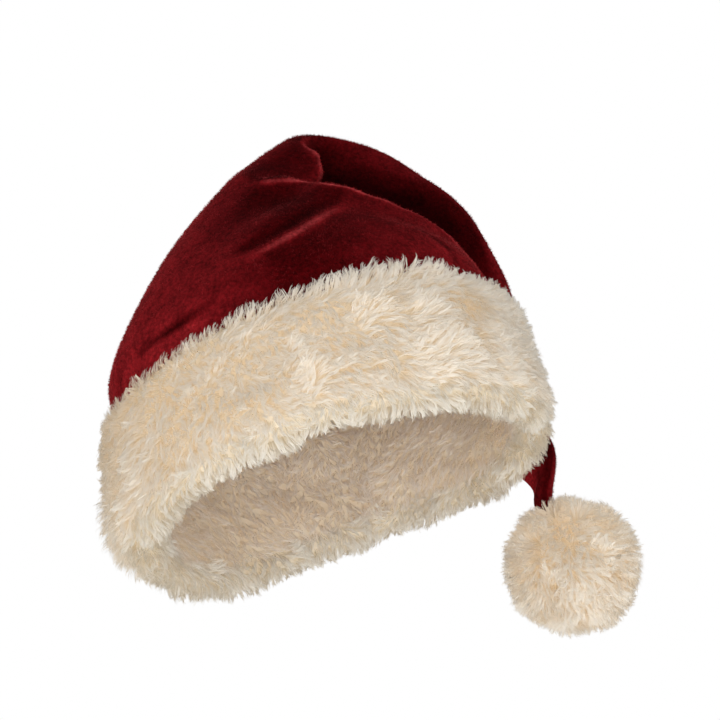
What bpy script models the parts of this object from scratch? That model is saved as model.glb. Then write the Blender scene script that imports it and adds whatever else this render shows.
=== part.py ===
"""Long velvet cap with a deep folded fur brim and a fur pompom on its tail. Metres, +Z up.

The wearer looks along -Y and +X is on the viewer's right. The origin is the middle of the head
opening at the height of the hem, which is where the cap sits on a head.
"""

import math
import random
from collections import namedtuple

import bmesh
import bpy
from mathutils import Vector

# Head opening, between the tips of the inner fur
OPENING_WIDTH = 0.160
OPENING_DEPTH = 0.154

# Velvet
VELVET = 0.002
CROWN_RISE = 0.113
TAIL_BELOW_HEM = 0.025
TAIL_WIDTH = 0.056
TAIL_THICKNESS = 0.018

# Fur brim, a cuff folded round the bottom of the velvet. HEM_PILE is the fur below the velvet's edge
BRIM_HEIGHT = 0.070
OUTER_PILE = 0.0086
INNER_PILE = 0.0052
HEM_PILE = 0.010
BRIM_LOCK = 0.0040

# Pompom, which hangs from the tip of the tail in the direction POMPOM_HANG
POMPOM_DIAMETER = 0.067
POMPOM_LOCK = 0.0045
TIP_SEAT = 0.006
POMPOM_HANG = (0.02, 0.12, -1.0)

# Gap between pieces that touch
CLEARANCE = 0.0003

# How sharply the front turns in at the fold's crease and runs out at its inner end, in degrees
CREASE_SPREAD = 13
PLEAT_END = 22

# Mesh fineness
REAR_COLUMNS = 18
FRONT_COLUMNS = 26
CREASE_COLUMN = 8
EVEN_CREASE = 180 + 180 * CREASE_COLUMN / FRONT_COLUMNS
RINGS_PER_SPAN = 2
BRIM_COLUMNS = 48

CREAM = (0.76, 0.66, 0.52)
RED = (0.13, 0.006, 0.012)

inner_fur = INNER_PILE + BRIM_LOCK + CLEARANCE + VELVET / 2
half_width = OPENING_WIDTH / 2 + inner_fur
half_depth = OPENING_DEPTH / 2 + inner_fur
chord = half_width * (1 - math.cos(math.pi / 2 / REAR_COLUMNS))
groove = VELVET / 2 + CLEARANCE + chord

# Where the brim sits lower: degrees round from +X towards the back, how far the hem and the top edge drop
# as shares of the brim's height, and the spread in degrees
BrimDip = namedtuple("BrimDip", "azimuth hem top spread")
BRIM_DIPS = (
    BrimDip(185, 0.11, 0.13, 55),
    BrimDip(138, 0.15, 0.00, 34),
    BrimDip(35, 0.07, 0.00, 35),
    BrimDip(265, -0.02, 0.05, 40),
    BrimDip(225, 0.00, 0.05, 30),
    BrimDip(335, 0.00, 0.04, 35),
)

# Brim section from the groove's outer lip, round the hem, to its inner lip: shares of the pile and of the
# brim's height
PileRow = namedtuple("PileRow", "out up")
OUTER_ROWS = (
    PileRow(0.10, 0.985),
    PileRow(0.66, 0.985),
    PileRow(1.00, 0.90),
    PileRow(1.12, 0.76),
    PileRow(1.18, 0.61),
    PileRow(1.20, 0.46),
    PileRow(1.22, 0.31),
    PileRow(1.15, 0.16),
    PileRow(0.80, 0.04),
)
INNER_ROWS = (
    PileRow(0.60, 0.04),
    PileRow(0.92, 0.17),
    PileRow(1.0, 0.33),
    PileRow(1.0, 0.50),
    PileRow(1.0, 0.67),
    PileRow(0.95, 0.83),
    PileRow(0.55, 0.94),
    PileRow(0.10, 0.95),
)

# Sections of the dome and of the fold where it turns down into the tail, each a loop round the velvet.
# outer is the side on the outline and inner the side next to the brim. Across, back and up are shares of the
# crown's half width, half depth and rise, and front and rear are shares of the half depth. facing is where
# the front looks, in degrees round from +X. From the angle crease on, pleat draws the front in, as a share of
# the half depth, and tuck draws it back under the section before, as a share of the rise.
FoldRow = namedtuple(
    "FoldRow",
    "outer_across outer_back outer_up inner_across inner_back inner_up facing front rear pleat tuck crease",
)
FOLD_ROWS = (
    FoldRow(-0.975, 0.00, 0.05, 0.99, 0.00, 0.03, -90, 0.99, 0.99, 0.00, 0.00, 235),
    FoldRow(-0.885, 0.00, 0.17, 0.975, 0.00, 0.07, -90, 0.95, 0.96, 0.00, 0.00, 237),
    FoldRow(-0.63, 0.02, 0.44, 0.96, 0.00, 0.11, -90, 0.80, 0.85, 0.00, 0.00, 241),
    FoldRow(-0.38, 0.05, 0.65, 0.95, 0.01, 0.14, -90, 0.62, 0.72, 0.00, 0.00, 246),
    FoldRow(-0.205, 0.06, 0.76, 0.94, 0.02, 0.18, -90, 0.54, 0.64, 0.00, 0.00, 249),
    FoldRow(-0.13, 0.07, 0.81, 0.92, 0.06, 0.17, -90, 0.53, 0.62, 0.09, 0.03, 249),
    FoldRow(0.00, 0.09, 0.88, 0.86, 0.14, 0.10, -90, 0.46, 0.55, 0.33, 0.16, 245),
    FoldRow(0.17, 0.13, 0.955, 0.83, 0.25, 0.07, -90, 0.42, 0.48, 0.36, 0.06, 230),
    FoldRow(0.34, 0.18, 0.99, 0.83, 0.35, 0.08, -88, 0.34, 0.38, 0.24, 0.00, 196),
    FoldRow(0.70, 0.33, 0.88, 0.88, 0.42, 0.09, -76, 0.12, 0.28, 0.00, 0.00, 205),
    FoldRow(0.88, 0.48, 0.68, 0.94, 0.50, 0.08, -64, 0.20, 0.26, 0.00, 0.00, 228),
    FoldRow(0.95, 0.62, 0.42, 0.99, 0.62, 0.055, -54, 0.26, 0.26, 0.00, 0.00, 235),
)

# Sections of the hanging tail: degrees round the brim, then shares of the way from the brim's top down to the
# tip, of the tail's half width and of its half thickness
TailRow = namedtuple("TailRow", "azimuth down wide thick")
TAIL_ROWS = (
    TailRow(43, -0.04, 0.94, 1.00),
    TailRow(42, 0.17, 0.80, 0.86),
    TailRow(41, 0.40, 0.61, 0.70),
    TailRow(38, 0.63, 0.42, 0.56),
    TailRow(35.5, 0.84, 0.24, 0.46),
    TailRow(34.5, 1.00, 0.17, 0.42),
)

# Soft creases of the front: place of the middle, slope in degrees, half length, spread and height, which is
# negative where the velvet sinks in
Crease = namedtuple("Crease", "across up slope length spread height")
CREASES = (
    Crease(0.16, 0.63, -20, 0.22, 0.040, 0.030),
    Crease(0.22, 0.73, -20, 0.18, 0.060, -0.050),
    Crease(0.12, 0.36, 22, 0.42, 0.075, 0.040),
    Crease(0.20, 0.52, 24, 0.32, 0.085, -0.060),
    Crease(0.62, 0.20, -20, 0.20, 0.060, 0.030),
    Crease(-0.45, 0.12, 30, 0.30, 0.090, -0.030),
)


def clear_scene():
    for obj in list(bpy.data.objects):
        bpy.data.objects.remove(obj)


def finish(name, colour, roughness):
    material = bpy.data.materials.new(name)
    material.use_nodes = True
    shader = material.node_tree.nodes["Principled BSDF"]
    shader.inputs["Base Color"].default_value = (*colour, 1.0)
    shader.inputs["Roughness"].default_value = roughness
    shader.inputs["Metallic"].default_value = 0.0
    return material


def brim_drop(azimuth):
    """How far the hem and the top edge sit below their own heights there, as shares of the brim's height."""
    hem = top = 0.0
    for dip in BRIM_DIPS:
        away = (math.degrees(azimuth) - dip.azimuth + 180) % 360 - 180
        near = math.exp(-((away / dip.spread) ** 2))
        hem += dip.hem * near
        top += dip.top * near
    return hem, top


def on_velvet(azimuth, height):
    """The point on the middle of the velvet's upright wall at that height."""
    return Vector((half_width * math.cos(azimuth), half_depth * math.sin(azimuth), height))


def on_brim(azimuth, out, up):
    """The point that far outside the velvet's middle, and that share of the brim's height up."""
    hem, top = brim_drop(azimuth)
    height = BRIM_HEIGHT * (up - hem * (1 - up) - top * up)
    away = Vector((math.cos(azimuth) / half_width, math.sin(azimuth) / half_depth, 0)).normalized()
    return on_velvet(azimuth, height) + out * away


def smooth(share):
    share = min(max(share, 0.0), 1.0)
    return share * share * (3 - 2 * share)


def spline(points, share):
    """Catmull-Rom value at that share of the way along a list of numbers or vectors."""
    last = len(points) - 1
    at = min(max(share, 0.0), 1.0) * last
    i = min(int(at), last - 1)
    t = at - i
    before, start, end = points[max(i - 1, 0)], points[i], points[i + 1]
    after = points[min(i + 2, last)]
    return (
        start
        + (end - before) * (0.5 * t)
        + (before * 2 - start * 5 + end * 4 - after) * (0.5 * t * t)
        + (start * 3 - before - end * 3 + after) * (0.5 * t * t * t)
    )


def bridge(bm, ring, following):
    """Quads between two rings with as many vertices."""
    made = []
    for i in range(len(ring)):
        k = (i + 1) % len(ring)
        made.append(bm.faces.new((ring[i], ring[k], following[k], following[i])))
    return made


def new_object(name, bm, material, collection):
    mesh = bpy.data.meshes.new(name)
    bm.to_mesh(mesh)
    bm.free()
    mesh.materials.append(material)
    mesh.shade_smooth()
    obj = bpy.data.objects.new(name, mesh)
    collection.objects.link(obj)
    return obj


def crumpled(point):
    """The point moved by the soft creases of the front."""
    across, up = point.x / half_width, (point.z - BRIM_HEIGHT) / CROWN_RISE
    moved = 0.0
    for crease in CREASES:
        turn = math.radians(crease.slope)
        along = (across - crease.across) * math.cos(turn) + (up - crease.up) * math.sin(turn)
        over = (up - crease.up) * math.cos(turn) - (across - crease.across) * math.sin(turn)
        moved += crease.height * math.exp(-((along / crease.length) ** 2) - (over / crease.spread) ** 2)
    reach = smooth(-point.y / half_depth / 0.2) * smooth(up / 0.15)
    return point - Vector((0, moved * half_depth * reach, 0))


Section = namedtuple("Section", "outer inner facing front rear pleat tuck crease")


def crown_point(across, back, up):
    return Vector((across * half_width, back * half_depth, BRIM_HEIGHT + up * CROWN_RISE))


def fold_sections():
    for row in FOLD_ROWS:
        yield Section(
            crown_point(row.outer_across, row.outer_back, row.outer_up),
            crown_point(row.inner_across, row.inner_back, row.inner_up),
            row.facing,
            row.front * half_depth,
            row.rear * half_depth,
            row.pleat * half_depth,
            row.tuck * CROWN_RISE,
            row.crease,
        )


def brim_outside():
    """How far the brim's fur stands out from the velvet's middle."""
    return groove + OUTER_PILE * max(row.out for row in OUTER_ROWS) + BRIM_LOCK


def tail_sections():
    for row in TAIL_ROWS:
        azimuth = math.radians(row.azimuth)
        wide, thick = row.wide * TAIL_WIDTH / 2, row.thick * TAIL_THICKNESS / 2
        away = Vector((math.cos(azimuth), math.sin(azimuth), 0))
        middle = on_brim(azimuth, brim_outside() + CLEARANCE + VELVET / 2 + thick, 1.0)
        middle.z = BRIM_HEIGHT - row.down * (BRIM_HEIGHT + TAIL_BELOW_HEM)
        outer, inner = middle + away * thick, middle - away * thick
        yield Section(outer, inner, row.azimuth - 90, wide, wide, 0.0, 0.0, EVEN_CREASE)


def turns(crease=EVEN_CREASE):
    """Angles round a section, from its inner side round the rear. One always falls on the crease."""
    rear = [180 * i / REAR_COLUMNS for i in range(REAR_COLUMNS)]
    before = [180 + (crease - 180) * i / CREASE_COLUMN for i in range(CREASE_COLUMN)]
    after_columns = FRONT_COLUMNS - CREASE_COLUMN
    after = [crease + (360 - crease) * i / after_columns for i in range(after_columns)]
    return [math.radians(turn) for turn in rear + before + after]


def ring_of(section):
    """The points of one section, from its inner side round the rear."""
    centre, across = (section.outer + section.inner) / 2, (section.inner - section.outer) / 2
    facing = math.radians(section.facing)
    face = Vector((math.cos(facing), math.sin(facing), 0))
    side = across.normalized()
    to_front = (face - side * face.dot(side)).normalized()
    onward = to_front.cross(side)
    points = []
    for turn in turns(section.crease):
        depth = math.sin(turn)
        point = centre + across * math.cos(turn)
        if depth < 0:
            past = (math.degrees(turn) - section.crease) / CREASE_SPREAD
            inside = smooth(past) * smooth((360 - math.degrees(turn)) / PLEAT_END)
            point -= to_front * depth * (section.front - section.pleat * inside)
            point -= onward * section.tuck * inside
        else:
            point -= to_front * depth * section.rear
        points.append(crumpled(point))
    return points


def crown_rings():
    """Rings of points from the velvet's lower edge to the gathered tip."""
    rings = []
    for share in (0.0, 0.35, 0.7):
        ring = []
        for turn in turns():
            foot = on_brim(turn, 0, HEM_PILE / BRIM_HEIGHT).z + 2 * CLEARANCE
            ring.append(on_velvet(turn, foot + (BRIM_HEIGHT - foot) * share))
        rings.append(ring)
    rim = crown_point(1, 0, 0)
    sections = [Section(crown_point(-1, 0, 0), rim, -90, half_depth, half_depth, 0.0, 0.0, EVEN_CREASE)]
    sections += [*fold_sections(), *tail_sections()]
    steps = (len(sections) - 1) * RINGS_PER_SPAN
    columns = list(zip(*sections))
    for i in range(steps + 1):
        rings.append(ring_of(Section(*(spline(column, i / steps) for column in columns))))
    return rings


def make_crown(collection):
    bm = bmesh.new()
    previous = None
    for points in crown_rings():
        ring = [bm.verts.new(point) for point in points]
        if previous:
            bridge(bm, previous, ring)
        previous = ring
    crown = new_object("crown", bm, finish("red_velvet", RED, 0.85), collection)
    wall = crown.modifiers.new("wall", "SOLIDIFY")
    wall.thickness = VELVET
    wall.offset = 0.0
    return crown


def raise_locks(bm, faces, length, nap, rng):
    """Turns each face into one pointed lock that leans along the nap."""
    found = bmesh.ops.poke(bm, faces=faces)
    for vert in found["verts"]:
        normal = vert.normal.copy()
        sway = nap + Vector([rng.uniform(-0.4, 0.4) for _ in range(3)])
        sway -= normal * sway.dot(normal)
        vert.co += length * (normal * rng.uniform(0.7, 1.0) + sway)


def brim_profile():
    """Distances out from the velvet's middle and shares of the height, of the fur and then of the groove."""
    fur = [(groove + OUTER_PILE * row.out, row.up) for row in OUTER_ROWS]
    fur += [(OUTER_PILE * 0.25, 0.0), (-INNER_PILE * 0.25, 0.0)]
    fur += [(-groove - INNER_PILE * row.out, row.up) for row in INNER_ROWS]
    floor = HEM_PILE / BRIM_HEIGHT
    lip = INNER_ROWS[-1].up
    slot = [(-groove, lip), (-groove, floor), (groove, floor), (groove, OUTER_ROWS[0].up)]
    return fur, slot


def make_brim(collection):
    bm = bmesh.new()
    rng = random.Random(4)
    fur, slot = brim_profile()
    rows = fur + slot
    rings = []
    for j, (out, up) in enumerate(rows):
        ring = []
        slant = 0.5 * (j % 2) if j < len(fur) else 0.0
        for i in range(BRIM_COLUMNS):
            azimuth = 2 * math.pi * (i + slant) / BRIM_COLUMNS
            ring.append(bm.verts.new(on_brim(azimuth, out, up)))
        rings.append(ring)
    furry = []
    for j in range(len(rows)):
        made = bridge(bm, rings[j], rings[(j + 1) % len(rows)])
        if 0 < j < len(fur) - 2:
            furry += made
    bmesh.ops.recalc_face_normals(bm, faces=bm.faces)
    bm.normal_update()
    raise_locks(bm, furry, BRIM_LOCK, Vector((0, 0, -0.6)), rng)
    return new_object("fur_brim", bm, finish("cream_fur", CREAM, 0.95), collection)


def middle_of(ring):
    return sum(ring, Vector()) / len(ring)


def make_pompom(collection, cutters):
    """A ball of locks with a socket that takes the end of the tail."""
    bm = bmesh.new()
    rng = random.Random(9)
    ball = POMPOM_DIAMETER / 2 - POMPOM_LOCK
    rings = crown_rings()
    centre = middle_of(rings[-1]) + Vector(POMPOM_HANG).normalized() * (ball - TIP_SEAT)
    bmesh.ops.create_icosphere(bm, subdivisions=3, radius=ball)
    bm.normal_update()
    raise_locks(bm, list(bm.faces), POMPOM_LOCK, Vector((0, 0, -0.3)), rng)
    bmesh.ops.translate(bm, verts=bm.verts, vec=centre)
    pompom = new_object("pompom", bm, finish("cream_fur_ball", CREAM, 0.95), collection)
    cut = pompom.modifiers.new("socket", "BOOLEAN")
    cut.object = make_socket(rings, centre, ball + 3 * POMPOM_LOCK, pompom.active_material, cutters)
    cut.solver = "EXACT"
    return pompom


def make_socket(rings, centre, reach, material, cutters):
    """The space that the tail's end takes up within reach of the centre, with the gap round it."""
    bm = bmesh.new()
    sunk = [ring for ring in rings if (middle_of(ring) - centre).length < reach]
    sunk.append([point - Vector((0, 0, CLEARANCE)) for point in sunk[-1]])
    previous = None
    for ring in sunk:
        middle = middle_of(ring)
        verts = []
        for point in ring[::2]:
            outward = (point - middle).normalized()
            verts.append(bm.verts.new(point + outward * (VELVET / 2 + 2 * CLEARANCE)))
        if previous:
            bridge(bm, previous, verts)
        else:
            bm.faces.new(verts)
        previous = verts
    bm.faces.new(previous)
    bmesh.ops.recalc_face_normals(bm, faces=bm.faces)
    socket = new_object("tip_socket", bm, material, cutters)
    socket.hide_render = True
    socket.display_type = "WIRE"
    return socket


def main():
    clear_scene()
    collection = bpy.data.collections.new("santa_hat")
    cutters = bpy.data.collections.new("cutters")
    bpy.context.scene.collection.children.link(collection)
    bpy.context.scene.collection.children.link(cutters)
    make_crown(collection)
    make_brim(collection)
    make_pompom(collection, cutters)


main()
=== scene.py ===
"""Looks of the santa hat: napped velvet crown, fur brim, fur pompom, stage and camera. Metres, +Z up."""

import math

import bmesh
import bpy
import numpy as np
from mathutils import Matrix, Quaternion, Vector


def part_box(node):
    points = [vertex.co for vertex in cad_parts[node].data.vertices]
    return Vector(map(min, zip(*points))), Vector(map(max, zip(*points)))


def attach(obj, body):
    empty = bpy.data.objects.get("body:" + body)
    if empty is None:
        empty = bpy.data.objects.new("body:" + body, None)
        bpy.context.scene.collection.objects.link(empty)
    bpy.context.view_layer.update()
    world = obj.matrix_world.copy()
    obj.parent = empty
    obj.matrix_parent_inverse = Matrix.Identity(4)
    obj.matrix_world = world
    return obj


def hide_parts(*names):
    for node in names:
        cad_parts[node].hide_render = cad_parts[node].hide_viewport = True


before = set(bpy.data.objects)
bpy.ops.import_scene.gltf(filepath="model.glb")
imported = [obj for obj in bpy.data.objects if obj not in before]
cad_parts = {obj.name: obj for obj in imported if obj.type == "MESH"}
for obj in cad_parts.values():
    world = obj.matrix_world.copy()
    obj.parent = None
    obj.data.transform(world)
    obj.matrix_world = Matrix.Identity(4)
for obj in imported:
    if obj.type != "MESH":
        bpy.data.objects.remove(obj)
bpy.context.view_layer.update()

bl_info = {
    "name": "Santa hat",
    "version": (1, 0, 0),
    "blender": (4, 5, 0),
    "location": "3D View > Sidebar > Santa hat",
    "description": "Dresses the santa hat in velvet and faux fur",
    "category": "Object",
}

# The velvet's upright wall and the brim's height, as in the CAD model
HALF_WIDTH = 0.0905
HALF_DEPTH = 0.0875
BRIM_HEIGHT = 0.070

# Where the brim sits lower: degrees round from +X towards the back, drop of the hem and of the top edge as
# shares of the brim's height, and spread in degrees. As in the CAD model, but for the last one, which raises
# the fur's edge right of the front.
BRIM_DIPS = (
    (185, 0.11, 0.13, 55),
    (138, 0.15, 0.00, 34),
    (35, 0.07, 0.00, 35),
    (265, -0.02, 0.05, 40),
    (225, 0.00, 0.05, 30),
    (335, 0.00, 0.04, 35),
    (303, 0.00, -0.045, 17),
)

# Section of the fur's backing from its outer lip, round the hem, to its inner lip: distance out from the
# velvet's middle in metres and share of the brim's height
BACKING_ROWS = (
    (0.0016, 0.865),
    (0.0034, 0.875),
    (0.0054, 0.835),
    (0.0068, 0.74),
    (0.0074, 0.61),
    (0.0077, 0.46),
    (0.0078, 0.31),
    (0.0068, 0.18),
    (0.0044, 0.08),
    (0.0012, 0.045),
    (-0.0016, 0.045),
    (-0.0040, 0.10),
    (-0.0053, 0.20),
    (-0.0055, 0.34),
    (-0.0055, 0.50),
    (-0.0055, 0.67),
    (-0.0052, 0.82),
    (-0.0036, 0.92),
    (-0.0016, 0.93),
)

# Shares of the way along that section where the hem's fur begins and ends
HEM_START = 0.42
HEM_END = 0.57

# Folds of the velvet: how far the cloth stands out along the line, how far it sinks above it, half the
# line's width, how much painted highlight its lip gets (below 0 painted shade instead, -1 darkest; the sink
# adds painted shade above the lip), and the line as across, back, up and strength. All in mm.
FOLDS = (
    # The lip of the big fold, and its inner end under the peak
    (1.2, 0.0, 2.2, 1.0, ((24, -36, 132, 0.9), (33, -45, 124, 1), (45, -44, 116.5, 1), (61, -38, 107, 1),
                          (76, -25, 97, 1), (81, -19, 92, 0.8), (85, -19, 82, 0.8), (89, -19, 71, 0.6))),
    (1.4, 3.0, 2.4, 1.0, ((3, -37, 142, 0.2), (9, -37, 139.5, 1), (16, -37, 137, 1), (24, -36, 132.5, 1))),
    # The front edge of the hollow under the peak
    (1.0, 0.0, 2.2, 1.0, ((28, -1, 172, 0.3), (27, -12, 163, 1), (26, -15, 158, 1), (27, -16, 154, 1),
                          (26, -18, 150, 1), (25, -17, 144, 1))),
    # Inside the big fold, where the cloth behind it goes down out of the light
    (0.0, 0.0, 9.0, -1.0, ((31, 8, 166, 0.7), (31, 9, 154, 1.2), (44, 11, 149, 1.1), (56, 15, 142, 1),
                            (69, 20, 134, 1), (80, 23, 121, 1), (88, 26, 108, 0.7), (92, 20, 92, 0.5))),
    # The soft fold across the front, and the roll of cloth over the brim's left end
    (2.0, 2.4, 3.6, 0.7, ((-24.6, -76.9, 88.2, 0), (-8.1, -81.8, 86.6, 0.5), (0.2, -81.3, 88, 0.8),
                          (8.3, -78.5, 91.5, 1), (15.4, -75.2, 94.6, 1), (24, -68, 100.5, 1),
                          (32.5, -57.3, 107.3, 0.7), (39, -49.6, 112.3, 0.2))),
    (1.2, 1.2, 2.6, 0.55, ((-63, -64, 63, 0.5), (-55, -70.6, 62, 1), (-47.3, -75.6, 62.5, 1),
                           (-38.4, -80.2, 64, 0.8), (-24, -85, 65.5, 0))),
    # The tail's front, which is out of the light
    (0.0, 0.0, 6.0, -0.5, ((92, 58, 12, 1), (90, 59, 3, 1), (89, 58, -6, 1), (88, 58, -13, 1),
                           (89, 59, -19, 1))),
    # A patch under the ridge whose colour is darkened
    (0.0, 0.0, 8.0, -0.45, ((5, -45, 126, 0.8), (12, -47, 121, 1), (16, -54, 114, 0.6))),
    # A dimple above the brim's right end
    (0.8, 1.0, 2.4, 0.5, ((67.2, -52.4, 85.1, 0.5), (71, -50.4, 81.3, 1), (74.7, -49.2, 75.1, 0.3))),
)

# Places where the cloth is pulled aside: the place, how far round it is pulled, and the pull. All in mm.
PULLS = (
    ((25, -17, 148), 9, (8, -1, 0)),
    ((27, -12, 163), 6, (2.5, 0, 0)),
    ((26, -15, 158), 4.5, (4.5, 0, 0)),
    ((23, -37, 132), 7, (0, 0, 2.4)),
    ((7, -31, 148.5), 8, (0, 1, -3)),
    ((19, -29, 146), 8, (0, 1, -3.5)),
    ((30, -44, 126), 8, (0, 0, 2.4)),
    ((43, -44.5, 118), 9, (0, 0, 3.6)),
    ((56, -40, 110), 9, (0, 0, 3.2)),
    ((68, -33, 102), 9, (0, 0, 3.0)),
    ((77, -25, 96), 8, (0, 0, 2.0)),
    ((84, 26, 136), 14, (1.5, 0, 2.5)),
    ((93, 28, 121), 14, (2.0, 0, 2.5)),
    ((97, 58, 10), 13, (4.0, 0, -1.5)),
    ((83, 65, -2), 8, (4.0, 0, -1.0)),
    ((95, 58, -19), 12, (-4.5, 0, 1.0)),
)

# The way that the front of the hat faces, which the folds stand out along
FACE = np.array((0.0, -0.937, -0.350))

# Half the width of a fibre of the velvet's pile
FIBRE_HALF_WIDTH = 0.00013

# The velvet shows above the brim, and below that only where the tail hangs clear of it, down to its end
BRIM_COVERS_BELOW = 0.053
TAIL_CLEAR_PAST = 0.094
TAIL_END = -0.046

# Levels of a strand from root to tip, and its width there as a share of its root's
STRAND_LEVELS = np.array((0.0, 0.40, 0.78, 1.0))
STRAND_TAPER = np.array((1.0, 1.0, 0.85, 0.0))


def linear(code):
    """The linear colour of an sRGB hex value."""
    shares = (int(code[i : i + 2], 16) / 255 for i in (1, 3, 5))
    return tuple(c / 12.92 if c <= 0.04045 else ((c + 0.055) / 1.055) ** 2.4 for c in shares)


def colour_property(name, code, description):
    return bpy.props.FloatVectorProperty(
        name=name, description=description, subtype="COLOR", size=3, min=0, max=1, default=linear(code)
    )


def length_property(name, default, description):
    return bpy.props.FloatProperty(
        name=name, description=description, default=default, min=0, precision=5, unit="LENGTH"
    )


class VelvetSettings(bpy.types.PropertyGroup):
    """Colours and sizes of the velvet."""

    # The light red is painted light, laid over the deep red on the flanks and the folds' lips; the rim red is
    # painted sheen on edges seen from the side and painted highlight on the lips
    deep: colour_property("Deep red", "#4f0509", "Colour where the pile leans away")
    light: colour_property("Light red", "#9c2026", "Colour where the pile leans towards the light")
    painted_sheen_and_lip_red: colour_property("Rim red", "#c84b4e", "Colour where the pile is seen from its side")
    bloom: colour_property("Bloom", "#b83034", "Colour of the pile's lit edges")
    nap_patch: length_property("Nap patch", 0.010, "Size of the patches where the pile leans one way")
    tuft: length_property("Tuft", 0.0016, "Size of one clump of pile")
    pile: length_property("Pile", 0.0011, "Length of the pile's fibres")
    fibres: bpy.props.IntProperty(name="Fibres", description="Number of the pile's fibres", default=80000)


class FurSettings(bpy.types.PropertyGroup):
    """Colours and sizes of the faux fur."""

    # The root colour and, less, the middle colour are painted shade deeper down the locks, under the cream of
    # the tips; the middle colour also tints the patches of warm dye
    root: colour_property("Root", "#f3e7cf", "Warm colour deep between the locks")
    middle: colour_property("Middle", "#f9f2e6", "Colour half way up a lock")
    tip: colour_property("Tip", "#fbf7ee", "Colour of the locks' tips")
    brim_length: length_property("Brim lock", 0.0088, "Length of a lock on the outside of the brim")
    lining_length: length_property("Lining lock", 0.0074, "Length of a lock inside the brim")
    pompom_length: length_property("Pompom lock", 0.0105, "Length of a lock on the pompom")
    strand: length_property("Strand", 0.00031, "Width of a strand at its root")
    seed: bpy.props.IntProperty(name="Seed", description="Picks another arrangement of locks", default=7)


class StageSettings(bpy.types.PropertyGroup):
    """Camera and light."""

    lens: bpy.props.FloatProperty(name="Lens", description="Focal length in mm", default=100, min=20)
    distance: length_property("Distance", 0.92, "From the camera to the middle of the hat")
    elevation: bpy.props.FloatProperty(
        name="Elevation", description="Angle that the camera looks from", subtype="ANGLE",
        default=math.radians(-20.5),
    )
    roll: bpy.props.FloatProperty(
        name="Roll", description="Turn of the camera about its view", subtype="ANGLE",
        default=math.radians(-16.5),
    )
    floor_drop: length_property("Floor drop", 0.45, "How far the floor lies below the hem")


def add_node(tree, kind, inputs=None, **settings):
    """One node with its settings. Each input takes a value or another node's output."""
    node = tree.nodes.new(kind)
    for name, value in settings.items():
        setattr(node, name, value)
    for key, value in (inputs or {}).items():
        if isinstance(value, bpy.types.NodeSocket):
            tree.links.new(value, node.inputs[key])
        else:
            node.inputs[key].default_value = value
    return node


def new_material(name, roughness, specular, sheen, sheen_roughness, sheen_tint):
    material = bpy.data.materials.new(name)
    material.use_nodes = True
    shader = material.node_tree.nodes["Principled BSDF"]
    shader.inputs["Roughness"].default_value = roughness
    shader.inputs["Specular IOR Level"].default_value = specular
    shader.inputs["Sheen Weight"].default_value = sheen
    shader.inputs["Sheen Roughness"].default_value = sheen_roughness
    shader.inputs["Sheen Tint"].default_value = (*sheen_tint, 1)
    return material, material.node_tree, shader


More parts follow.
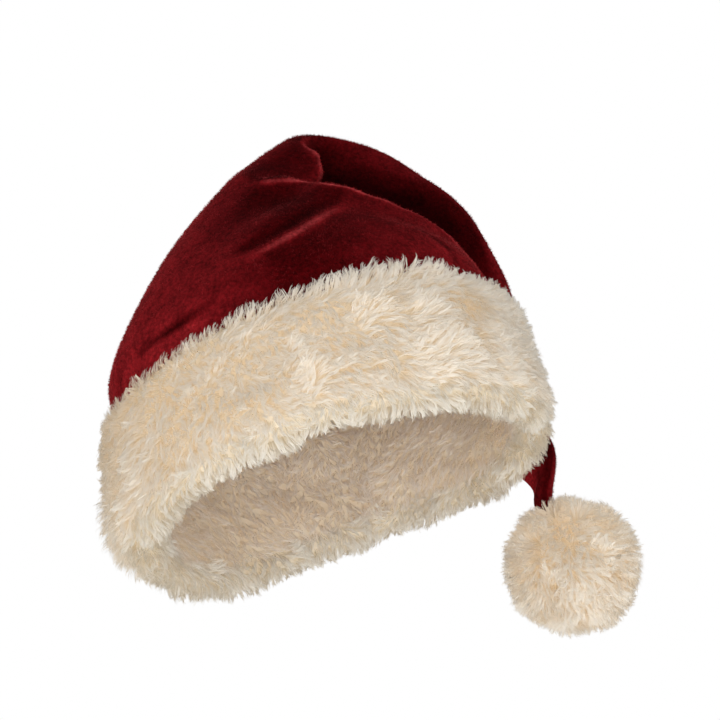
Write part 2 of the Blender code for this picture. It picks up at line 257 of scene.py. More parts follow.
def polyester_velvet(name, settings, on_pile):
    """Polyester velvet: a dense cut pile about 1 mm deep that swallows light head on; its colour carries
    painted sheen at its edges, painted light on its flanks and the folds' lips, and painted shade in the
    creases.

    It is brushed one way in some patches and the other way in others, which gives soft mottling. With
    on_pile it is for the pile's own fibres, which carry the normal of the cloth under them.
    """
    material, tree, shader = new_material(name, 0.95, 0.02, 0.04, 0.3, settings.bloom)
    texture = add_node(tree, "ShaderNodeTexCoord")
    # The grain is longer from front to back, which is how the leaning pile draws it out
    place = add_node(
        tree, "ShaderNodeVectorMath", {0: texture.outputs["Object"], 1: (1.0, 0.7, 1.0)}, operation="MULTIPLY"
    ).outputs[0]
    patches = add_node(
        tree, "ShaderNodeTexNoise",
        {
            "Vector": place, "Scale": 1 / settings.nap_patch,
            "Detail": 3.0, "Roughness": 0.6, "Distortion": 0.6,
        },
    )
    tufts = add_node(
        tree, "ShaderNodeTexNoise",
        {"Vector": place, "Scale": 1 / settings.tuft, "Detail": 2.0, "Roughness": 0.7},
    )
    both = add_node(
        tree, "ShaderNodeMix", {0: 0.6, 2: patches.outputs["Fac"], 3: tufts.outputs["Fac"]}, data_type="FLOAT"
    )
    mottle = add_node(
        tree, "ShaderNodeMapRange",
        {"Value": both.outputs[0], "From Min": 0.36, "From Max": 0.64, "To Min": 0.52, "To Max": 1.48},
    )
    nap = add_node(tree, "ShaderNodeAttribute", attribute_name="nap").outputs["Fac"]
    if on_pile:
        cloth = add_node(tree, "ShaderNodeAttribute", attribute_name="cloth_normal").outputs["Vector"]
        sideways = add_node(tree, "ShaderNodeSeparateXYZ", {0: cloth}).outputs["X"]
    else:
        sideways = add_node(tree, "ShaderNodeSeparateXYZ", {0: texture.outputs["Normal"]}).outputs["X"]
        broad = add_node(
            tree, "ShaderNodeBump", {"Height": patches.outputs["Fac"], "Strength": 0.2, "Distance": 0.0015}
        )
        cloth = add_node(
            tree, "ShaderNodeBump",
            {"Height": tufts.outputs["Fac"], "Strength": 0.7, "Distance": 0.0005, "Normal": broad.outputs[0]},
        ).outputs[0]
        tree.links.new(cloth, shader.inputs["Normal"])
    # Painted light and sheen on the flanks: the colour turns to the light red where the cloth faces left, the
    # left one soonest, and less where it faces right, and stays the deep red where it faces the front
    left = add_node(
        tree, "ShaderNodeMapRange",
        {"Value": sideways, "From Min": 0.05, "From Max": -0.6, "To Max": 0.9},
    )
    right = add_node(
        tree, "ShaderNodeMapRange",
        {"Value": sideways, "From Min": 0.2, "From Max": 0.8, "To Max": 0.6},
    )
    lit = add_node(tree, "ShaderNodeMath", {0: left.outputs[0], 1: right.outputs[0]}, operation="MAXIMUM")
    # Painted highlight over a fold's lip and painted shade in a crease, both from the attribute nap
    painted_light_and_shade = add_node(tree, "ShaderNodeMath", {0: nap, 1: lit.outputs[0]}, operation="ADD", use_clamp=True)
    painted_crease_shade = add_node(
        tree, "ShaderNodeMapRange", {"Value": nap, "From Min": -1.0, "From Max": 0.0, "To Min": 0.28}
    )
    colour = add_node(
        tree, "ShaderNodeMix",
        {0: painted_light_and_shade.outputs[0], 6: (*settings.deep, 1), 7: (*settings.light, 1)},
        data_type="RGBA",
    )
    # Painted highlight on the folds' lips, mixed towards the rim red
    lip = add_node(tree, "ShaderNodeMapRange", {"Value": nap, "From Min": 0.35})
    # Painted sheen: the colour turns to the rim red where the cloth is seen edge-on
    edge = add_node(tree, "ShaderNodeLayerWeight", {"Blend": 0.40, "Normal": cloth})
    painted_edge_sheen = add_node(
        tree, "ShaderNodeMapRange",
        {"Value": edge.outputs["Facing"], "From Min": 0.80, "From Max": 0.98, "To Max": 1.0},
    )
    painted_sheen_and_lip_highlight = add_node(
        tree, "ShaderNodeMath", {0: painted_edge_sheen.outputs["Result"], 1: lip.outputs["Result"]}, operation="MAXIMUM"
    )
    # Painted sheen on the tips of the pile's fibres
    if on_pile:
        level = add_node(tree, "ShaderNodeAttribute", attribute_name="level").outputs["Fac"]
        tips = add_node(tree, "ShaderNodeMath", {0: level, 1: 0.45}, operation="MULTIPLY")
        painted_sheen_and_lip_highlight = add_node(
            tree, "ShaderNodeMath", {0: painted_sheen_and_lip_highlight.outputs[0], 1: tips.outputs[0]}, operation="MAXIMUM"
        )
    with_painted_sheen = add_node(
        tree, "ShaderNodeMix",
        {0: painted_sheen_and_lip_highlight.outputs[0], 6: colour.outputs[2], 7: (*settings.painted_sheen_and_lip_red, 1)},
        data_type="RGBA",
    )
    # The mottling, times the painted shade in the creases
    shade = add_node(
        tree, "ShaderNodeMath",
        {0: mottle.outputs["Result"], 1: painted_crease_shade.outputs["Result"]},
        operation="MULTIPLY",
    )
    finish = add_node(
        tree, "ShaderNodeVectorMath", {0: with_painted_sheen.outputs[2], "Scale": shade.outputs[0]}, operation="SCALE"
    )
    tree.links.new(finish.outputs[0], shader.inputs["Base Color"])
    return material


def faux_fur(name, settings, painted_light_tint):
    """Modacrylic faux fur: fine matt fibres in wavy locks, cream at the tips, with painted shade that makes
    it warmer and darker deep between the locks.

    The attribute fur_shade holds how far up its strand a point is, and a random number for the lock and one
    for the strand.
    """
    material, tree, shader = new_material(name, 0.9, 0.05, 0.0, 0.5, settings.tip)
    shade = add_node(tree, "ShaderNodeAttribute", attribute_name="fur_shade")
    parts = add_node(tree, "ShaderNodeSeparateColor", {"Color": shade.outputs["Color"]})
    place = add_node(tree, "ShaderNodeTexCoord").outputs["Object"]
    # Painted shade: warmer and darker towards the roots, lightest at the tips
    low = add_node(
        tree, "ShaderNodeMapRange", {"Value": parts.outputs[0], "From Min": 0.0, "From Max": 0.40}
    )
    high = add_node(
        tree, "ShaderNodeMapRange", {"Value": parts.outputs[0], "From Min": 0.45, "From Max": 1.0}
    )
    deep = add_node(
        tree, "ShaderNodeMix",
        {0: low.outputs["Result"], 6: (*settings.root, 1), 7: (*settings.middle, 1)},
        data_type="RGBA",
    )
    lit = add_node(
        tree, "ShaderNodeMix",
        {0: high.outputs["Result"], 6: deep.outputs[2], 7: (*settings.tip, 1)},
        data_type="RGBA",
    )
    # Patches about 14 mm wide where the fibre took more of the warm dye
    dye = add_node(
        tree, "ShaderNodeTexNoise", {"Vector": place, "Scale": 1 / 0.014, "Detail": 2.0, "Roughness": 0.5}
    )
    warmth = add_node(
        tree, "ShaderNodeMapRange",
        {"Value": dye.outputs["Fac"], "From Min": 0.40, "From Max": 0.75, "To Max": 0.35},
    )
    warm = add_node(
        tree, "ShaderNodeMix",
        {0: warmth.outputs["Result"], 6: lit.outputs[2], 7: (*settings.middle, 1)},
        data_type="RGBA",
    )
    tone = add_node(
        tree, "ShaderNodeMapRange", {"Value": parts.outputs[1], "To Min": 0.96, "To Max": 1.0}
    )
    varied = add_node(
        tree, "ShaderNodeVectorMath",
        {0: warm.outputs[2], "Scale": tone.outputs["Result"]},
        operation="SCALE",
    )
    # The tint makes lighter and darker copies of one fur, painted light or painted shade for where each sits
    dyed = add_node(
        tree, "ShaderNodeVectorMath", {0: varied.outputs[0], 1: linear(painted_light_tint)}, operation="MULTIPLY"
    )
    tree.links.new(dyed.outputs[0], shader.inputs["Base Color"])
    return material


def ripple(points, size, seed):
    """Smooth random numbers, mostly from -1 to 1, that change over about that size from point to point."""
    rng = np.random.default_rng(seed)
    total = np.zeros(len(points))
    for _ in range(9):
        wave = rng.normal(size=3)
        wave *= 2 * math.pi / size * rng.uniform(0.6, 1.5) / np.linalg.norm(wave)
        total += np.sin(points @ wave + rng.uniform(0, 2 * math.pi))
    return total / 2.2


def unit(vectors):
    return vectors / np.maximum(np.linalg.norm(vectors, axis=-1, keepdims=True), 1e-9)


def backing_section():
    """Shares of the way along the backing's section, with the distance out and the height there."""
    rows = np.array(BACKING_ROWS)
    rows = np.vstack((2 * rows[0] - rows[1], rows, 2 * rows[-1] - rows[-2]))
    points = []
    for i in range(1, len(rows) - 2):
        before, start, end, after = rows[i - 1 : i + 3]
        for t in np.linspace(0, 1, 20, endpoint=False):
            points.append(
                start
                + (end - before) * 0.5 * t
                + (2 * before - 5 * start + 4 * end - after) * 0.5 * t**2
                + (3 * start - before - 3 * end + after) * 0.5 * t**3
            )
    points = np.array([*points, rows[-2]])
    steps = np.diff(points, axis=0) * (1.0, BRIM_HEIGHT)
    run = np.concatenate(([0.0], np.cumsum(np.linalg.norm(steps, axis=1))))
    return run / run[-1], points[:, 0], points[:, 1], run[-1]


RUN, RUN_OUT, RUN_UP, RUN_LENGTH = backing_section()


def brim_drop(azimuth):
    """How far the hem and the top edge sit low there, as shares of the brim's height."""
    hem = np.zeros_like(azimuth)
    top = np.zeros_like(azimuth)
    for middle, low, high, spread in BRIM_DIPS:
        away = (np.degrees(azimuth) - middle + 180) % 360 - 180
        near = np.exp(-((away / spread) ** 2))
        hem += low * near
        top += high * near
    return hem, top


def on_backing(azimuth, run):
    """Points of the fur's backing."""
    out, up = np.interp(run, RUN, RUN_OUT), np.interp(run, RUN, RUN_UP)
    hem, top = brim_drop(azimuth)
    height = BRIM_HEIGHT * (up - hem * (1 - up) - top * up)
    across, back = np.cos(azimuth), np.sin(azimuth)
    wall = np.stack((HALF_WIDTH * across, HALF_DEPTH * back, height), axis=-1)
    away = unit(np.stack((across / HALF_WIDTH, back / HALF_DEPTH, np.zeros_like(across)), axis=-1))
    swell = 1 + 0.09 * ripple(wall, 0.045, 21)
    return wall + away * (out * swell)[:, None]


def backing_frames(azimuth, run):
    """Points of the backing with their normals, and the directions onward along the section and round it."""
    points = on_backing(azimuth, run)
    along = unit(on_backing(azimuth, np.minimum(run + 0.004, 1)) - on_backing(azimuth, run - 0.004))
    around = unit(on_backing(azimuth + 0.01, run) - on_backing(azimuth - 0.01, run))
    return points, unit(np.cross(along, around)), along, around


def press_folds(mesh):
    """Presses the folds into the velvet and notes in the attribute nap the painted highlight on their lips
    and the painted shade in their creases.
    """
    points = np.empty(len(mesh.vertices) * 3, dtype=np.float32)
    mesh.vertices.foreach_get("co", points)
    points = points.reshape(-1, 3).astype(float)
    moved = points.copy()
    nap = np.zeros(len(points))
    for out, sink, width, pile, line in FOLDS:
        width /= 1000
        line = np.array(line) * (0.001, 0.001, 0.001, 1)
        nearest = np.full(len(points), np.inf)
        strength = np.zeros(len(points))
        above = np.zeros(len(points))
        for start, end in zip(line, line[1:]):
            along = (end - start)[:3]
            share = np.clip((points - start[:3]) @ along / (along @ along), 0, 1)
            apart = points - start[:3] - share[:, None] * along
            away = np.linalg.norm(apart, axis=1)
            closer = away < nearest
            nearest[closer] = away[closer]
            strength[closer] = (start[3] + (end[3] - start[3]) * share)[closer]
            above[closer] = (apart @ unit(np.cross(FACE, along)))[closer]
        lip = strength * np.exp(-((nearest / width) ** 2))
        sunk = strength * np.exp(-(((nearest - 1.8 * width) / width) ** 2)) * np.clip(above / width, 0, 1)
        moved += FACE * (0.001 * (out * lip - sink * sunk))[:, None]
        # Painted highlight along each lip and painted shade where the cloth sinks above it
        nap += pile * lip - min(sink, 1) * 0.7 * sunk
    for place, size, pull in PULLS:
        away = np.linalg.norm(points - np.array(place) / 1000, axis=1)
        moved += np.exp(-((away / size * 1000) ** 2))[:, None] * np.array(pull) / 1000
    mesh.vertices.foreach_set("co", moved.astype(np.float32).ravel())
    painted_light_and_shade = np.clip(nap, -1, 1).astype(np.float32)
    mesh.attributes.new("nap", "FLOAT", "POINT").data.foreach_set("value", painted_light_and_shade)
    mesh.update()


def new_piece(name, mesh, material, slot, *nodes, shadow=True):
    """The piece's object, which rides on the hat and stands for those CAD nodes.

    Fibres let most of the light through, so strands cast no hard shadows and their backing casts them.
    """
    mesh.materials.clear()
    mesh.materials.append(material)
    piece = bpy.data.objects.new(name, mesh)
    bpy.context.scene.collection.objects.link(piece)
    piece.visible_shadow = shadow
    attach(piece, "root")
    if nodes:
        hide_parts(*nodes)
    return piece


def spread_locks(turn, run, spacing, rng):
    """Azimuths and shares along the section of locks that far apart, between two turns and two shares."""
    rows = max(round((run[1] - run[0]) * RUN_LENGTH / spacing), 1)
    columns = round((turn[1] - turn[0]) * (HALF_WIDTH + 0.004) / spacing)
    row, column = np.divmod(np.arange(rows * columns), columns)
    place = (column + 0.5 * (row % 2) + rng.uniform(0, 0.9, len(row))) / columns
    azimuth = turn[0] + place * (turn[1] - turn[0])
    share = run[0] + (row + rng.uniform(0, 1, len(row))) / rows * (run[1] - run[0])
    return azimuth, share


def grow_fur(name, roots, normals, naps, lengths, lifts, strands, clump, settings, seed):
    """One mesh of strands, several to each lock. They start apart, wave together and meet near the tip.

    lifts is how steeply each lock stands, from 0 flat to 1 upright, and clump is how far its strands start
    from its middle.
    """
    rng = np.random.default_rng(seed)
    locks = len(roots)
    sides = unit(np.cross(normals, naps))
    naps = unit(np.cross(sides, normals))
    sway = rng.normal(0, math.radians(16), (locks, 1))
    naps, sides = naps * np.cos(sway) + sides * np.sin(sway), sides * np.cos(sway) - naps * np.sin(sway)
    level = STRAND_LEVELS[None, None, :, None]

    def per_lock(low, high):
        return rng.uniform(low, high, (locks, 1, 1, 1))

    def per_strand(low, high):
        return rng.uniform(low, high, (locks, strands, 1, 1))

    normal, nap, side = (v[:, None, None, :] for v in (normals, naps, sides))
    length = lengths[:, None, None, None] * per_strand(0.78, 1.08)
    lift = lifts[:, None, None, None] * per_lock(0.8, 1.15) * per_strand(0.92, 1.08)
    rise = length * np.sin(lift * math.pi / 2) * (1 - (1 - level) ** 1.7)
    lean = length * np.cos(lift * math.pi / 2) * level**1.35
    swing = length * per_lock(-0.22, 0.22) * level**1.5
    wave = np.sin(level * per_lock(4.5, 7.5) + per_lock(0, 2 * math.pi)) * level * per_lock(0.0004, 0.0011)
    angle = per_strand(0, 2 * math.pi)
    reach = clump * np.sqrt(per_strand(0.0, 1.0))
    gather = 1 - per_lock(0.35, 0.80) * level**0.8
    stray = per_strand(-1, 1) * level**2 * 0.0006
    middle = (
        roots[:, None, None, :]
        + normal * rise
        + nap * (lean + reach * np.cos(angle) * gather)
        + side * (swing + wave + stray + reach * np.sin(angle) * gather)
    )
    onward = unit(np.diff(middle, axis=2, append=2 * middle[:, :, -1:] - middle[:, :, -2:-1]))
    tilt = per_strand(-0.5, 0.5)
    facing = normal * np.cos(tilt) + side * np.sin(tilt)
    across = unit(np.cross(onward, facing))
    width = settings.strand / 2 * per_strand(0.75, 1.2) * STRAND_TAPER[None, None, :, None]
    left, right = middle - across * width, middle + across * width
    points = np.stack((left, right), axis=3).reshape(locks * strands, 8, 3)[:, :7]
    return strand_mesh(name, points, rng.uniform(0, 1, locks).repeat(strands), rng)


def strand_mesh(name, points, lock_tone, rng):
    """A mesh of ribbons with seven points each: three pairs and the tip."""
    count = len(points)
    mesh = bpy.data.meshes.new(name)
    mesh.vertices.add(count * 7)
    mesh.vertices.foreach_set("co", points.astype(np.float32).ravel())
    corners = np.array((0, 1, 3, 2, 2, 3, 5, 4, 4, 5, 6))
    mesh.loops.add(count * 11)
    mesh.loops.foreach_set("vertex_index", (np.arange(count)[:, None] * 7 + corners).ravel().astype(np.int32))
    mesh.polygons.add(count * 3)
    starts = (np.arange(count)[:, None] * 11 + np.array((0, 4, 8))).ravel()
    mesh.polygons.foreach_set("loop_start", starts.astype(np.int32))
    mesh.update(calc_edges=True)
    shade = mesh.attributes.new("fur_shade", "FLOAT_COLOR", "POINT")
    values = np.ones((count, 7, 4), dtype=np.float32)
    values[:, :, 0] = STRAND_LEVELS.repeat(2)[:7]
    values[:, :, 1] = lock_tone[:, None]
    values[:, :, 2] = rng.uniform(0, 1, count)[:, None]
    shade.data.foreach_set("color", values.ravel())
    # Each strand has its own strip of the map, which keeps its colours apart when they are baked
    columns = math.ceil(math.sqrt(count * 3))
    rows = math.ceil(count / columns)
    column, row = np.arange(count) % columns, np.arange(count) // columns
    edge = np.array((0.15, 0.85))
    u = (column[:, None] + np.array((*edge, *edge, *edge, 0.5))) / columns
    v = (row[:, None] + 0.08 + 0.84 * STRAND_LEVELS.repeat(2)[:7]) / rows
    layer = mesh.uv_layers.new(name="OFBake")
    layer.data.foreach_set("uv", np.stack((u[:, corners], v[:, corners]), axis=-1).astype(np.float32).ravel())
    mesh.shade_smooth()
    mesh.validate()
    return mesh


def brim_naps(azimuth, run, points, along, around, seed):
    """The way the brim's fur is brushed: down at the left end, sideways at the right, up at the top edge."""
    sideways = 35 * (1 + np.cos(azimuth - math.radians(330)))
    turn = np.radians(sideways + 30 * ripple(points, 0.028, seed) + 20 * ripple(points, 0.010, seed + 1))
    reach = 0.060 + 0.030 * np.cos(azimuth - math.radians(330)) + 0.015 * ripple(points, 0.03, seed + 2)
    top = np.clip(1 - run / reach, 0, 1) ** 0.7
    turn = turn * (1 - top) + math.pi * np.where(np.sin(turn) < 0, -1, 1) * top * 0.9
    return along * np.cos(turn)[:, None] + around * np.sin(turn)[:, None]


def backing_mesh(name, columns=144, rows=72):
    """The fur's backing, a loop of knitted cloth under the locks."""
    azimuth = np.linspace(0, 2 * math.pi, columns, endpoint=False)
    grid = np.meshgrid(azimuth, np.linspace(0, 1, rows), indexing="ij")
    points = on_backing(grid[0].ravel(), grid[1].ravel())
    bm = bmesh.new()
    verts = [bm.verts.new(point) for point in points]
    for i in range(columns):
        following = (i + 1) % columns
        for j in range(rows - 1):
            a, b = i * rows + j, following * rows + j
            bm.faces.new((verts[a], verts[a + 1], verts[b + 1], verts[b]))
    mesh = bpy.data.meshes.new(name)
    bm.to_mesh(mesh)
    bm.free()
    # The backing takes the colour near the locks' roots, painted shade under the fur
    shade = mesh.attributes.new("fur_shade", "FLOAT_COLOR", "POINT")
    shade.data.foreach_set("color", np.tile((0.12, 0.5, 0.5, 1.0), len(mesh.vertices)))
    mesh.shade_smooth()
    return mesh


class HAT_OT_velvet_crown(bpy.types.Operator):
    """Dress the crown in velvet"""

    bl_idname = "santa_hat.velvet_crown"
    bl_label = "Velvet crown"

    def execute(self, context):
        bpy.ops.object.select_all(action="DESELECT")
        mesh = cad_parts["crown"].data.copy()
        mesh.name = "velvet_crown"
        piece = new_piece(
            "velvet_crown", mesh, polyester_velvet("polyester_velvet", context.scene.hat_velvet, False),
            "red_velvet", "crown",
        )
        context.view_layer.objects.active = piece
        piece.select_set(True)
        bpy.ops.object.mode_set(mode="EDIT")
        bpy.ops.mesh.select_all(action="SELECT")
        bpy.ops.mesh.remove_doubles(threshold=1e-5)
        bpy.ops.mesh.tris_convert_to_quads(face_threshold=1.2, shape_threshold=1.2)
        bpy.ops.object.mode_set(mode="OBJECT")
        smoother = piece.modifiers.new("smoother", "SUBSURF")
        smoother.levels = smoother.render_levels = 2
        bpy.ops.object.modifier_apply(modifier=smoother.name)
        press_folds(piece.data)
        piece.data.shade_smooth()
        return {"FINISHED"}


def pile_roots(mesh, count, rng):
    """Places for that many fibres on the velvet's outside, with the cloth's normal and its nap there, the
    folds' painted highlight and shade.

    The outside is what can be reached from the peak without going under the brim or into the pompom.
    """
    bm = bmesh.new()
    bm.from_mesh(mesh)
    nap = bm.verts.layers.float["nap"]
    peak = max(bm.verts, key=lambda vert: vert.co.z)
    waiting = list(peak.link_faces)
    reached = set(waiting)
    while waiting:
        for edge in waiting.pop().edges:
            for face in edge.link_faces:
                corner = face.verts[0].co
                clear = corner.z > BRIM_COVERS_BELOW or corner.x > TAIL_CLEAR_PAST
                if face not in reached and corner.z > TAIL_END and clear:
                    reached.add(face)
                    waiting.append(face)
    faces = sorted(reached, key=lambda face: face.index)
    # A triangle counts its last corner twice, so that every face has four
    corners = np.array([[vert.co[:] for vert in face.verts[:3] + [face.verts[-1]]] for face in faces])
    normals = np.array([face.normal[:] for face in faces])
    naps = np.array([[vert[nap] for vert in face.verts[:3] + [face.verts[-1]]] for face in faces])
    bm.free()
    area = np.linalg.norm(np.cross(corners[:, 2] - corners[:, 0], corners[:, 3] - corners[:, 1]), axis=1)
    chosen = rng.choice(len(faces), count, p=area / area.sum())
    u, v = rng.uniform(0, 1, (2, count, 1))
    shares = np.concatenate(((1 - u) * (1 - v), u * (1 - v), u * v, (1 - u) * v), axis=1)
    roots = (corners[chosen] * shares[:, :, None]).sum(axis=1)
    return roots, normals[chosen], (naps[chosen] * shares).sum(axis=1)


class HAT_OT_velvet_pile(bpy.types.Operator):
    """Raise the short pile of the velvet"""

    bl_idname = "santa_hat.velvet_pile"
    bl_label = "Velvet pile"

    def execute(self, context):
        settings = context.scene.hat_velvet
        crown = bpy.data.objects.get("velvet_crown")
        if crown is None:
            self.report({"ERROR"}, "The velvet crown comes first")
            return {"CANCELLED"}
        rng = np.random.default_rng(context.scene.hat_fur.seed + 90)
        count = settings.fibres
        roots, normals, naps = pile_roots(crown.data, count, rng)
        # The fibres lean down the cloth, each its own way, and in patches that were brushed together
        lean = np.array((0.0, 0.0, -0.75)) + rng.normal(0, 0.28, (count, 3))
        lean += np.stack([0.5 * ripple(roots, settings.nap_patch * 1.5, 80 + i) for i in range(3)], axis=-1)
        onward = unit(normals + lean - normals * (lean * normals).sum(axis=1, keepdims=True))
        across = unit(np.cross(onward, rng.normal(size=(count, 3)))) * FIBRE_HALF_WIDTH
        tips = roots + onward * settings.pile * rng.uniform(0.7, 1.15, (count, 1))
        mesh = bpy.data.meshes.new("velvet_pile")
        mesh.vertices.add(count * 3)
        points = np.stack((roots - across, roots + across, tips), axis=1)
        mesh.vertices.foreach_set("co", points.astype(np.float32).ravel())
        mesh.loops.add(count * 3)
        mesh.loops.foreach_set("vertex_index", np.arange(count * 3, dtype=np.int32))
        mesh.polygons.add(count)
        mesh.polygons.foreach_set("loop_start", np.arange(0, count * 3, 3, dtype=np.int32))
        mesh.update(calc_edges=True)
        under = np.repeat(normals, 3, axis=0).astype(np.float32)
        mesh.attributes.new("cloth_normal", "FLOAT_VECTOR", "POINT").data.foreach_set("vector", under.ravel())
        # nap carries the cloth's painted fold highlight and shade, and level picks out the tips for painted
        # sheen
        for name, values in (("nap", np.repeat(naps, 3)), ("level", np.tile((0.0, 0.0, 1.0), count))):
            mesh.attributes.new(name, "FLOAT", "POINT").data.foreach_set("value", values)
        # Each fibre has its own corner of the map, which keeps its colours apart when they are baked
        columns = math.ceil(math.sqrt(count))
        column, row = np.arange(count) % columns, np.arange(count) // columns
        u = (column[:, None] + np.array((0.2, 0.8, 0.5))) / columns
        v = (row[:, None] + np.array((0.15, 0.15, 0.85))) / columns
        layer = mesh.uv_layers.new(name="OFBake")
        layer.data.foreach_set("uv", np.stack((u, v), axis=-1).astype(np.float32).ravel())
        mesh.validate()
        material = polyester_velvet("polyester_pile", settings, True)
        new_piece("velvet_pile", mesh, material, "red_velvet", shadow=False)
        return {"FINISHED"}


class HAT_OT_fur_brim(bpy.types.Operator):
    """Grow the fur of the brim on its backing"""

    bl_idname = "santa_hat.fur_brim"
    bl_label = "Fur brim"

    def execute(self, context):
        settings = context.scene.hat_fur
        # One fur in lighter and darker copies: painted shade on the hem, painted light on the lining
        material = faux_fur("modacrylic_faux_fur", settings, "#fcfbfa")
        hem = faux_fur("modacrylic_faux_fur_hem_painted_shade", settings, "#f5f5f4")
        lining = faux_fur("modacrylic_faux_fur_lining_painted_light", settings, "#fffdfd")
        new_piece("brim_backing", backing_mesh("brim_backing"), material, "cream_fur", "fur_brim")
        full = 2 * math.pi
        back, left, right = full / 12, full * 5 / 12, full * 3 / 4
        self.grow(settings, material, "brim_fur_left", (left, right), (0.0, HEM_START), 0.0019, 7, 1)
        self.grow(settings, material, "brim_fur_right", (right, back + full), (0.0, HEM_START), 0.0019, 7, 2)
        self.grow(settings, material, "brim_fur_back", (back, left), (0.0, HEM_START), 0.0019, 7, 3)
        self.grow(settings, hem, "hem_fur", (0, full), (HEM_START, HEM_END), 0.0021, 7, 4)
        self.grow(settings, lining, "lining_fur", (0, full), (HEM_END, 0.99), 0.0025, 6, 5)
        return {"FINISHED"}

    def grow(self, settings, material, name, turn, run, spacing, strands, seed):
        rng = np.random.default_rng(settings.seed + 10 * seed)
        azimuth, share = spread_locks(turn, run, spacing, rng)
        points, normals, along, around = backing_frames(azimuth, share)
        if share[0] < HEM_START:
            naps = brim_naps(azimuth, share, points, along, around, 31)
            lengths = settings.brim_length * (1 + 0.10 * ripple(points, 0.02, 5))
            front = 0.5 + 0.5 * np.cos(azimuth - math.radians(318))
            lengths *= 1 - (0.62 - 0.42 * front) * np.clip(1 - share / 0.10, 0, 1)
            rear_left = np.exp(-(((np.degrees(azimuth) - 175) / 30) ** 2))
            lengths *= 1 + 0.30 * rear_left * np.clip((share - 0.15) / 0.2, 0, 1)
            lengths *= 1 - 0.18 * np.clip(np.cos(azimuth) * 3 - 2, 0, 1)
            # Its top edge stands up in a ragged crest right of the front and lies low left of it
            crest = np.exp(-(((np.degrees(azimuth) - 302) / 16) ** 2)) - 0.8 * np.exp(
                -(((np.degrees(azimuth) - 250) / 13) ** 2)
            )
            crest *= np.clip(1 - share / 0.07, 0, 1)
            lengths *= 1 + 0.60 * crest * (1 + 0.5 * ripple(points, 0.009, 13))
            lifts = np.full(len(points), 0.50) + 0.10 * ripple(points, 0.012, 6)
            lifts += 0.15 * rear_left * np.clip((share - 0.15) / 0.2, 0, 1)
        elif share[0] < HEM_END:
            outside = (0.5 * (HEM_START + HEM_END) - share) / (HEM_END - HEM_START) * 2
            turn_round = np.radians(50 * ripple(points, 0.02, 8))
            naps = (
                along * np.cos(turn_round)[:, None] * np.sign(outside)[:, None]
                + around * np.sin(turn_round)[:, None]
            )
            lengths = settings.brim_length * 0.8 * (1 + 0.15 * ripple(points, 0.02, 9))
            lengths *= 1 + 0.45 * np.exp(-(((np.degrees(azimuth) - 150) / 38) ** 2))
            lifts = np.full(len(points), 0.55)
        else:
            turn_round = np.radians(180 + 24 * ripple(points, 0.03, 11))
            naps = along * np.cos(turn_round)[:, None] + around * np.sin(turn_round)[:, None]
            lengths = settings.lining_length * (1 + 0.12 * ripple(points, 0.02, 12))
            lifts = np.full(len(points), 0.46)
        clump = spacing * 0.72
        mesh = grow_fur(
            name, points, normals, naps, lengths, lifts, strands, clump, settings, settings.seed + seed
        )
        new_piece(name, mesh, material, "cream_fur", shadow=False)


class HAT_OT_pompom(bpy.types.Operator):
    """Grow the fur ball on the end of the tail"""

    bl_idname = "santa_hat.pompom"
    bl_label = "Pompom"

    def execute(self, context):
        settings = context.scene.hat_fur
        low, high = (np.array(corner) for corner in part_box("pompom"))
        centre = (low + high) / 2
        outer = (high - low).mean() / 2
        core = outer - 0.0090
        # The ball's copy of the fur is tinted lighter, painted light
        material = faux_fur("modacrylic_faux_fur_ball_painted_light", settings, "#fffefd")
        bpy.ops.object.select_all(action="DESELECT")
        bm = bmesh.new()
        bmesh.ops.create_icosphere(bm, subdivisions=5, radius=core)
        for vert in bm.verts:
            vert.co += Vector(centre)
        mesh = bpy.data.meshes.new("pompom_core")
        bm.to_mesh(mesh)
        bm.free()
        # The core takes the colour near the locks' roots, painted shade under the fur
        shade = mesh.attributes.new("fur_shade", "FLOAT_COLOR", "POINT")
        shade.data.foreach_set("color", np.tile((0.12, 0.5, 0.5, 1.0), len(mesh.vertices)))
        mesh.shade_smooth()
        ball = new_piece("pompom_core", mesh, material, "cream_fur_ball", "pompom")
        count = 3300
        rng = np.random.default_rng(settings.seed + 50)
        height = 1 - 2 * (np.arange(count) + rng.uniform(0.1, 0.9, count)) / count
        turn = np.arange(count) * math.pi * (3 - math.sqrt(5)) + rng.uniform(-0.03, 0.03, count)
        flat = np.sqrt(1 - height**2)
        normals = np.stack((flat * np.cos(turn), flat * np.sin(turn), height), axis=-1)
        points = centre + normals * core
        nap = np.stack([0.55 * ripple(points, 0.012, 60 + i) for i in range(3)], axis=-1)
        nap += (0.1, -0.1, -0.7)
        nap -= normals * (nap * normals).sum(axis=1, keepdims=True)
        lengths = settings.pompom_length * (1 + 0.10 * ripple(points, 0.02, 70))
        lifts = 0.68 + 0.10 * ripple(points, 0.02, 71)
        clump = 0.0013
        mesh = grow_fur(
            "pompom_fur", points, normals, nap, lengths, lifts, 8, clump, settings, settings.seed + 51
        )
        new_piece("pompom_fur", mesh, material, "cream_fur_ball", shadow=False)
        return {"FINISHED"}


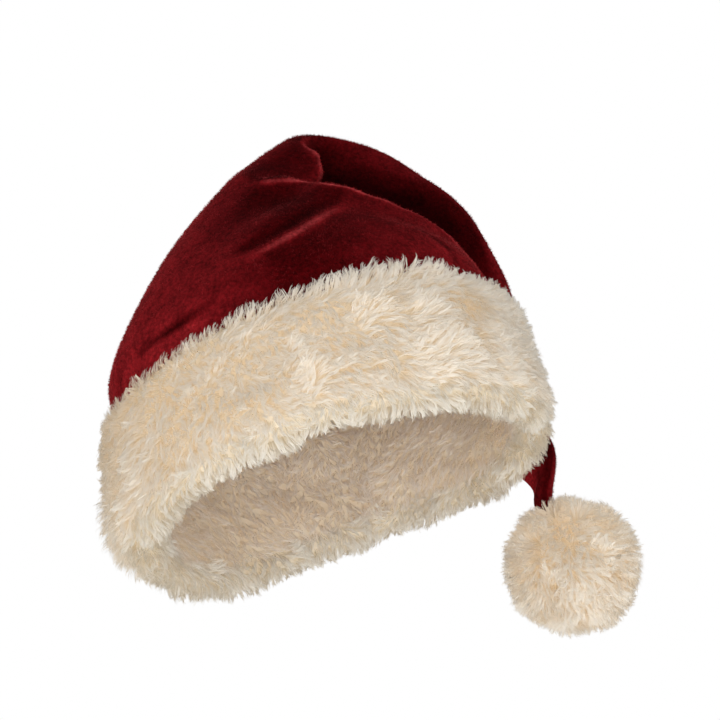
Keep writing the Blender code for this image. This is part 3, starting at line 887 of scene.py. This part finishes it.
class HAT_OT_stage(bpy.types.Operator):
    """Set up the floor, the lights and the camera"""

    bl_idname = "santa_hat.stage"
    bl_label = "Stage"

    def execute(self, context):
        settings = context.scene.hat_stage
        self.camera(context, settings)
        self.floor(context, settings)
        self.light("low", (0.0, -1.5, -0.20), 1.3, 3.05)
        self.light("bounce", (0.0, -0.25, -0.42), 1.2, 5.6)
        self.light("left", (-1.4, -0.9, 0.3), 1.2, 1.4)
        self.light("top", (0.2, 0.3, 1.7), 1.5, 3.0)
        world = bpy.data.worlds.new("studio")
        world.use_nodes = True
        tree = world.node_tree
        seen = add_node(tree, "ShaderNodeLightPath").outputs["Is Camera Ray"]
        power = add_node(tree, "ShaderNodeMapRange", {"Value": seen, "To Min": 0.29, "To Max": 1.0})
        tree.nodes["Background"].inputs["Color"].default_value = (1, 1, 1, 1)
        tree.links.new(power.outputs["Result"], tree.nodes["Background"].inputs["Strength"])
        context.scene.world = world
        # Light is handed on many times between cream fibres
        context.scene.cycles.diffuse_bounces = 10
        context.scene.view_settings.view_transform = "Standard"
        return {"FINISHED"}

    def camera(self, context, settings):
        aim = Vector((0.0243, 0, 0.0575))
        back = Vector((0, -math.cos(settings.elevation), math.sin(settings.elevation)))
        data = bpy.data.cameras.new("camera")
        data.lens = settings.lens
        data.sensor_width = 36
        camera = bpy.data.objects.new("camera", data)
        camera.location = aim + back * settings.distance
        camera.rotation_mode = "QUATERNION"
        camera.rotation_quaternion = (-back).to_track_quat("-Z", "Y") @ Quaternion((0, 0, 1), settings.roll)
        context.scene.collection.objects.link(camera)
        context.scene.camera = camera

    def floor(self, context, settings):
        bpy.ops.object.select_all(action="DESELECT")
        bpy.ops.mesh.primitive_plane_add(size=30)
        floor = context.active_object
        floor.name = "floor"
        for vert in floor.data.vertices:
            vert.co.z = -settings.floor_drop
        material, tree, shader = new_material("matt_painted_board", 0.9, 0.2, 0.0, 0.5, (1, 1, 1))
        place = add_node(tree, "ShaderNodeTexCoord").outputs["Object"]
        stipple = add_node(tree, "ShaderNodeTexNoise", {"Vector": place, "Scale": 1 / 0.004})
        paint = add_node(
            tree, "ShaderNodeMix",
            {0: stipple.outputs["Fac"], 6: (*linear("#eeece8"), 1), 7: (*linear("#f3f1ee"), 1)},
            data_type="RGBA",
        )
        tree.links.new(paint.outputs[2], shader.inputs["Base Color"])
        # The camera sees it as pale as the white backdrop, and it sends the hat no more light for that
        seen = add_node(tree, "ShaderNodeLightPath").outputs["Is Camera Ray"]
        paler = add_node(tree, "ShaderNodeMath", {0: seen, 1: 0.55}, operation="MULTIPLY")
        tree.links.new(paint.outputs[2], shader.inputs["Emission Color"])
        tree.links.new(paler.outputs[0], shader.inputs["Emission Strength"])
        material.cycles.emission_sampling = "NONE"
        floor.data.materials.append(material)

    def light(self, name, place, size, power):
        data = bpy.data.lights.new(name, "AREA")
        data.shape = "DISK"
        data.size = size
        data.energy = power
        lamp = bpy.data.objects.new(name, data)
        lamp.visible_camera = False
        lamp.location = place
        lamp.rotation_mode = "QUATERNION"
        lamp.rotation_quaternion = (Vector((0, 0, 0.05)) - Vector(place)).to_track_quat("-Z", "Y")
        bpy.context.scene.collection.objects.link(lamp)


class HAT_PT_panel(bpy.types.Panel):
    """Sizes, colours and steps of the hat"""

    bl_label = "Santa hat"
    bl_idname = "HAT_PT_panel"
    bl_space_type = "VIEW_3D"
    bl_region_type = "UI"
    bl_category = "Santa hat"

    def draw(self, context):
        for settings in (context.scene.hat_velvet, context.scene.hat_fur, context.scene.hat_stage):
            box = self.layout.box()
            for name in settings.__annotations__:
                box.prop(settings, name)
        for step in STEPS:
            self.layout.operator(step.bl_idname)


STEPS = (HAT_OT_stage, HAT_OT_velvet_crown, HAT_OT_velvet_pile, HAT_OT_fur_brim, HAT_OT_pompom)
CLASSES = (VelvetSettings, FurSettings, StageSettings, *STEPS, HAT_PT_panel)


def register():
    for cls in CLASSES:
        bpy.utils.register_class(cls)
    bpy.types.Scene.hat_velvet = bpy.props.PointerProperty(type=VelvetSettings)
    bpy.types.Scene.hat_fur = bpy.props.PointerProperty(type=FurSettings)
    bpy.types.Scene.hat_stage = bpy.props.PointerProperty(type=StageSettings)


def unregister():
    del bpy.types.Scene.hat_velvet, bpy.types.Scene.hat_fur, bpy.types.Scene.hat_stage
    for cls in reversed(CLASSES):
        bpy.utils.unregister_class(cls)


def main():
    register()
    bpy.ops.santa_hat.stage()
    bpy.ops.santa_hat.velvet_crown()
    bpy.ops.santa_hat.velvet_pile()
    bpy.ops.santa_hat.fur_brim()
    bpy.ops.santa_hat.pompom()


if __name__ == "__main__":
    main()
